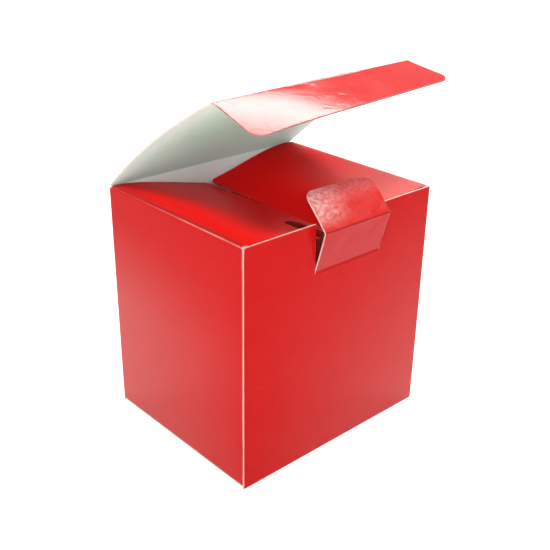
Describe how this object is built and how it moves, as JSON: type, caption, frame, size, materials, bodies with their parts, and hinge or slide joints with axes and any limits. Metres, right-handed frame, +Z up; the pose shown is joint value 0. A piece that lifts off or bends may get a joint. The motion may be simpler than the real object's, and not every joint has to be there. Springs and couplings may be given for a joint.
{
  "type": "cup gift box",
  "caption": "Folding carton for a cup: a glossy red board box with a hinged tuck-in lid, dust flaps and a lock tab cut from the front wall.",
  "frame": {"origin": "middle of the box's footprint, on the surface that it stands on", "axes": "+X along the front wall to the right, +Y from the front wall to the lid's hinge at the back, +Z up"},
  "size_m": [0.114, 0.102, 0.1697],
  "materials": {
    "box_board": "glossy laminated face, white uncoated inside and raw edges",
    "lid_board": "glossy laminated face, white uncoated inside and raw edges",
    "tuck_board": "glossy laminated face, white uncoated inside and raw edges",
    "tab_base_board": "glossy laminated face, white uncoated inside and raw edges",
    "tab_tip_board": "glossy laminated face, handled and finely crinkled"
  },
  "bodies": {
    "box": {"carton": "box_board"},
    "lid": {"lid": "lid_board"},
    "tuck_flap": {"tuck_flap": "tuck_board"},
    "tab_base": {"lock_tab_base": "tab_base_board"},
    "tab_tip": {"lock_tab_tip": "tab_tip_board"}
  },
  "joints": [
    {"name": "lid_hinge", "type": "hinge", "parent": "box", "child": "lid", "pos_m": [0, 0.04765, 0.11565], "axis": [-1, 0, 0], "range_deg": [-18, 145]},
    {"name": "tuck_flap_fold", "type": "hinge", "parent": "lid", "child": "tuck_flap", "pos_m": [0, -0.02902, 0.16934], "axis": [1, 0, 0], "range_deg": [-40, 65]},
    {"name": "lock_tab_hinge", "type": "hinge", "parent": "box", "child": "tab_base", "pos_m": [0.0027, -0.04765, 0.094], "axis": [1, 0, 0], "range_deg": [-16, 84]},
    {"name": "lock_tab_fold", "type": "hinge", "parent": "tab_base", "child": "tab_tip", "pos_m": [0.0027, -0.05311, 0.11303], "axis": [-1, 0, 0], "range_deg": [-61, 29]}
  ]
}
